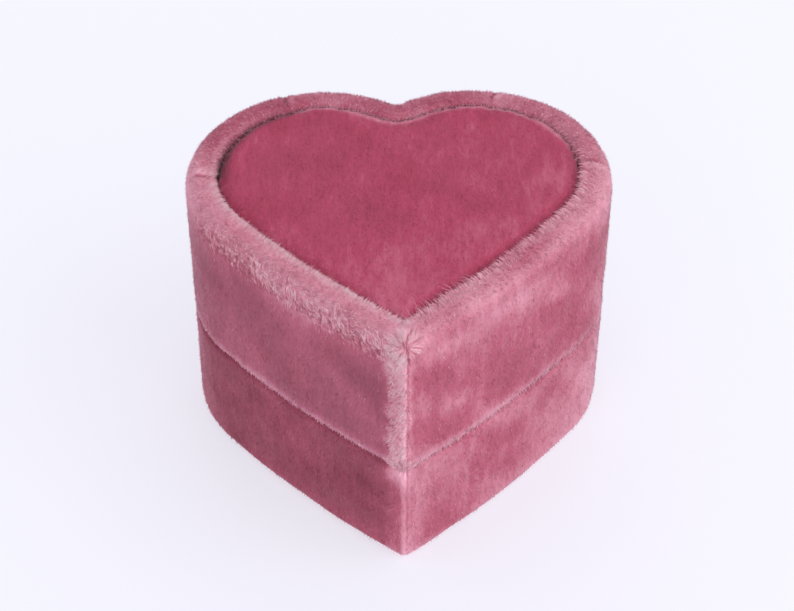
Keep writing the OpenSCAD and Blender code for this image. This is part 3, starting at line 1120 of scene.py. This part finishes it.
# Pale fibres in the wavy band: painted sheen
strands(
    "crimped_pile", lid_wrap, lambda p, n, inset: 38 * ease(crimped(p, n), 0.1, 0.7), wavy_way,
    lean=(0.8, 1.35), long=lambda r: 0.30 + 0.45 * crimped(r.place, r.normal), thick=0.075, lift=-0.34,
    contrast=0.40, clump=0.42, seed=71, gather=1.3, mats=sheen_fibres, catch=(0.4, -0.2, 0.3),
    tone_of=lambda r: 0.20 * crimped(r.place, r.normal),
)
# Pale fibres down the front edge: painted sheen where the pile stands up, turned towards the light
strands(
    "ridge_pile", lid_wrap, ridge_density, ridge_way, lean=(0.9, 1.35),
    long=lambda r: 0.22 + 0.38 * ridged(r.place), thick=0.08, lift=-0.30, contrast=0.30, clump=0.4,
    seed=81, gather=1.1, mats=sheen_fibres, tone_of=lambda r: 0.15 * ridged(r.place),
    catch=(1.2, -1.0, 0.5),
)
# Pale fibres in the bursts: painted sheen on the tufts, painted shade in the creases
strands(
    "burst_pile", lid_wrap, lambda p, n, inset: 70 * ease(starred(p), 0.15, 0.5) * (n[:, 2] > -0.3),
    lambda r: spokes(r.place), lean=(1.1, 1.4), long=lambda r: 0.45 + 0.4 * starred(r.place), thick=0.075,
    lift=-0.24, contrast=0.15, clump=0.3, seed=91, gather=0.0, mats=sheen_fibres, tone_of=burst_tone,
    catch=(0.4, -0.4, 0.3),
)
# Painted glints: short, nearly upright, very pale fibres along the right crest
strands(
    "crest_glints", lid_wrap,
    lambda p, n, inset: 7 * front_right(n) * bump(p[:, 2], BOX_TOP - 1.6 * MM, 0.9 * MM), nap_way,
    lean=(0.3, 0.6), long=0.28, thick=0.075, lift=0.45, contrast=0.1, clump=0.5, seed=95, gather=0.5,
    bent=False, catch=(0.3, 0, 0.3),
)
strands(
    "rim_pile", lid_wrap, lambda p, n, inset: 15 * (inset > 0.6 * MM) * (p[:, 2] > BOX_TOP - 1.4 * MM),
    rim_way, lean=(0.8, 1.15), long=0.5, thick=0.09, lift=0.10, contrast=0.16, clump=0.5, seed=101,
    gather=1.0,
)
# Pale fibres on the rim's inner edge: painted highlight, less to the right of the tip
strands(
    "rim_fringe", lid_wrap, rim_fringe_density, lambda r: -r.out, lean=(0.95, 1.35),
    long=lambda r: 0.85 + 0.3 * right_of_tip(r), thick=0.065, lift=-0.12, contrast=0.28, clump=0.4,
    seed=111, gather=0.7, mats=sheen_fibres, tone_of=lambda r: -0.22 * right_of_tip(r),
    catch=(0.3, -0.3, 0.6),
)
# Paler fibres on the lid's lip: painted sheen
strands(
    "lip_pile", lid_wrap, lip_density, lambda r: DOWN, lean=(0.9, 1.3),
    long=lambda r: 0.5 + 0.25 * front_right(r.normal), thick=0.09, lift=0.26, contrast=0.16, clump=0.4,
    seed=114, gather=0.6,
)
strands(
    "collar_nap", collar, lambda p, n, inset: 6 * (p[:, 2] > BASE_TOP), nap_way, lean=(1.2, 1.35),
    long=0.35, thick=0.09, lift=0.06, contrast=0.12, clump=0.5, seed=171, bent=False, body="base",
)
for word, ring_pad in ring_pads.items():
    strands(
        f"{word}_pad_nap", ring_pad, lambda p, n, inset: 8 * (n[:, 2] > -0.2), panel_way, lean=(1.0, 1.2),
        long=0.4, thick=0.09, lift=0.06, contrast=0.12, clump=0.5, seed=181, bent=False, body="base",
    )
strands(
    "panel_nap", top_panel, lambda p, n, inset: 18 * (n[:, 2] > 0.15), panel_way, lean=(0.95, 1.2),
    long=0.5, thick=0.085, lift=0.05, contrast=0.08, clump=0.4, seed=121, gather=0.3, bent=False,
    mats=raspberry_fibres, slot="deep_rose_velvet",
)
# Pale fibres on the panel's back edge: painted highlight
strands(
    "panel_edge_pile", top_panel, panel_edge_density, lambda r: r.normal * [1, 1, 0] - DOWN * 0.3,
    lean=(0.3, 0.7), long=0.65, thick=0.08, lift=0.40, contrast=0.2, clump=0.45, seed=124,
)
strands(
    "stray_hairs", lid_wrap, stray_density, lambda r: -r.out + 0.9 * stray_ways(r, 141),
    lean=(0.6, 1.3), long=2.2, thick=0.045, lift=0.5, contrast=0.1, clump=0.5, seed=144, gather=0,
)

# ---------------------------------------------------------------- the pieces that CAD has right

for board in (
    "lid_wall_board", "lid_deck_board", "top_panel_board", "ceiling_board", "base_wall_board",
    "base_floor_board", "bottom_panel_board", "collar_board", "ring_pad_board",
):
    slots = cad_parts[board].data.materials
    slots.clear()
    slots.append(greyboard)

# ---------------------------------------------------------------- floor, light and camera

floor_mat, _, shader = material("floor", 0.9)
shader.inputs["Base Color"].default_value = (*linear(163, 163, 169), 1)
shader.inputs["Emission Color"].default_value = (*linear(246, 246, 255), 1)
shader.inputs["Emission Strength"].default_value = 0.61
bpy.ops.mesh.primitive_plane_add(size=6)
floor = bpy.context.object
floor.name = "floor"
floor.data.materials.append(floor_mat)

world = bpy.data.worlds.new("studio")
bpy.context.scene.world = world
world.use_nodes = True
world.node_tree.nodes["Background"].inputs["Color"].default_value = (*linear(246, 247, 255), 1)
world.node_tree.nodes["Background"].inputs["Strength"].default_value = 0.74
CENTRE = Vector((0, 0, BOX_TOP / 2))


def direction(azimuth, elevation):
    """Azimuth 0 is in front of the tip, and 90 is to its right."""
    a, e = math.radians(azimuth), math.radians(elevation)
    return Vector((math.sin(a) * math.cos(e), -math.cos(a) * math.cos(e), math.sin(e)))


def place_facing(name, data, target, way, distance):
    """Puts a light or a camera at a distance from its target, and turns it to that."""
    placed = bpy.data.objects.new(name, data)
    bpy.context.scene.collection.objects.link(placed)
    placed.location = target + way * distance
    placed.rotation_euler = way.to_track_quat("Z", "Y").to_euler()
    return placed


def softbox(name, azimuth, elevation, distance, size, power, colour=(1, 1, 1)):
    """A square area light aimed at the box."""
    light = bpy.data.lights.new(name, "AREA")
    light.size, light.energy, light.color = size, power, colour
    place_facing(name, light, CENTRE, direction(azimuth, elevation), distance)


softbox("key", azimuth=62, elevation=38, distance=1.1, size=1.0, power=4.5, colour=(1.0, 0.985, 0.97))
softbox("front", azimuth=-12, elevation=32, distance=1.2, size=1.2, power=3.0)
softbox("back", azimuth=175, elevation=40, distance=1.2, size=0.9, power=1.5)

AIM = CENTRE + Vector((-0.4, 2.9, -0.1)) * MM
LENS, AZIMUTH, ELEVATION, DISTANCE = 96.7, -1.34, 42.8, 310.5 * MM
view = bpy.data.cameras.new("camera")
view.lens = LENS
view.clip_start = 0.01
bpy.context.scene.camera = place_facing("camera", view, AIM, direction(AZIMUTH, ELEVATION), DISTANCE)
bpy.context.scene.view_settings.view_transform = "Standard"
